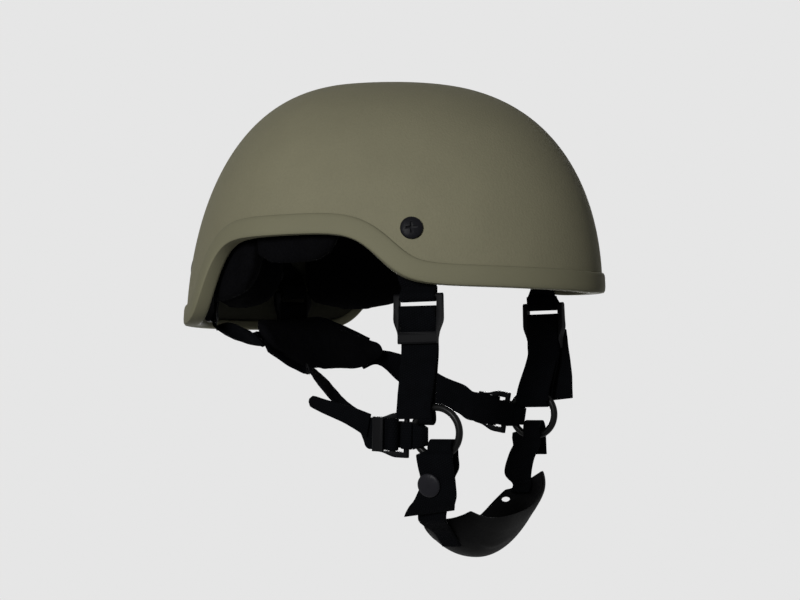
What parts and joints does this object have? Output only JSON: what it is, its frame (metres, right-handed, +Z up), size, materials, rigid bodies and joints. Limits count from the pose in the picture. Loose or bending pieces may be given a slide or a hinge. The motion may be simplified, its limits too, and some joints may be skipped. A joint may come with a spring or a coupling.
{
  "type": "combat helmet",
  "caption": "High-cut olive combat helmet with edge trim, suspension pads and a black webbing chin harness with ladder-locks, rings, a snap flap and a chin cup.",
  "frame": {"origin": "middle of the head opening, at the level of the brow rim", "axes": "+Z up to the crown, the front towards -Y, the wearer's right towards -X"},
  "size_m": [0.2392, 0.2819, 0.3015],
  "materials": {
    "shell_coating": "matt woven-textured olive coating",
    "trim_rubber": "matt",
    "blackened_steel": "satin black",
    "snap_metal": "satin grey",
    "pad_cloth": "brushed knit",
    "hook_tape": "hook tape",
    "buckle_plastic": "satin",
    "ring_enamel": "satin black enamel",
    "cup_leather": "matt",
    "webbing": "woven webbing"
  },
  "bodies": {
    "helmet": {"shell": "shell_coating", "edge_trim": "trim_rubber", "harness_screws": "blackened_steel", "harness_nuts": "blackened_steel", "hook_patches": "hook_tape", "crown_pad": "pad_cloth", "front_pad": "pad_cloth", "rear_pad": "pad_cloth", "side_pad_front_r": "pad_cloth", "side_pad_front_l": "pad_cloth", "side_pad_rear_r": "pad_cloth", "side_pad_rear_l": "pad_cloth", "front_tab_r": "webbing", "front_tab_l": "webbing", "rear_tab_r": "webbing", "rear_tab_l": "webbing", "rear_lock_r": "buckle_plastic", "rear_lock_l": "buckle_plastic", "front_strap_r": "webbing", "front_strap_l": "webbing", "rear_strap_r": "webbing", "rear_strap_l": "webbing", "nape_pad": "pad_cloth", "side_strap_r": "webbing", "side_strap_l": "webbing", "side_lock_r": "buckle_plastic", "side_lock_l": "buckle_plastic", "side_loop_r": "webbing", "side_loop_l": "webbing", "side_tail_r": "webbing", "ring_r": "ring_enamel", "ring_l": "ring_enamel"},
    "chin": {"chin_strap_r": "webbing", "chin_strap_l": "webbing", "snap_stud": "snap_metal", "chin_cup": "cup_leather"},
    "flap": {"snap_flap": "webbing", "snap_cap": "snap_metal"},
    "lock_r": {"front_lock_r": "buckle_plastic", "front_thread_r": "webbing"},
    "lock_l": {"front_lock_l": "buckle_plastic", "front_thread_l": "webbing", "front_tail_l": "webbing"}
  },
  "joints": [
    {"name": "chin_swing", "type": "hinge", "parent": "helmet", "child": "chin", "pos_m": [0, -0.07, -0.08], "axis": [-0.9949, -0.0775, -0.0646], "range_deg": [-8, 55]},
    {"name": "flap_open", "type": "hinge", "parent": "chin", "child": "flap", "pos_m": [-0.08114, -0.07632, -0.1013], "axis": [-0.0777, 0.997, 0], "range_deg": [0, 100]},
    {"name": "lock_tilt_r", "type": "hinge", "parent": "helmet", "child": "lock_r", "pos_m": [-0.08453, -0.06939, -0.0042], "axis": [-0.1392, 0.9903, 0], "range_deg": [0, 30]},
    {"name": "lock_tilt_l", "type": "hinge", "parent": "helmet", "child": "lock_l", "pos_m": [0.08453, -0.06939, -0.0042], "axis": [-0.1392, -0.9903, 0], "range_deg": [0, 30]}
  ]
}
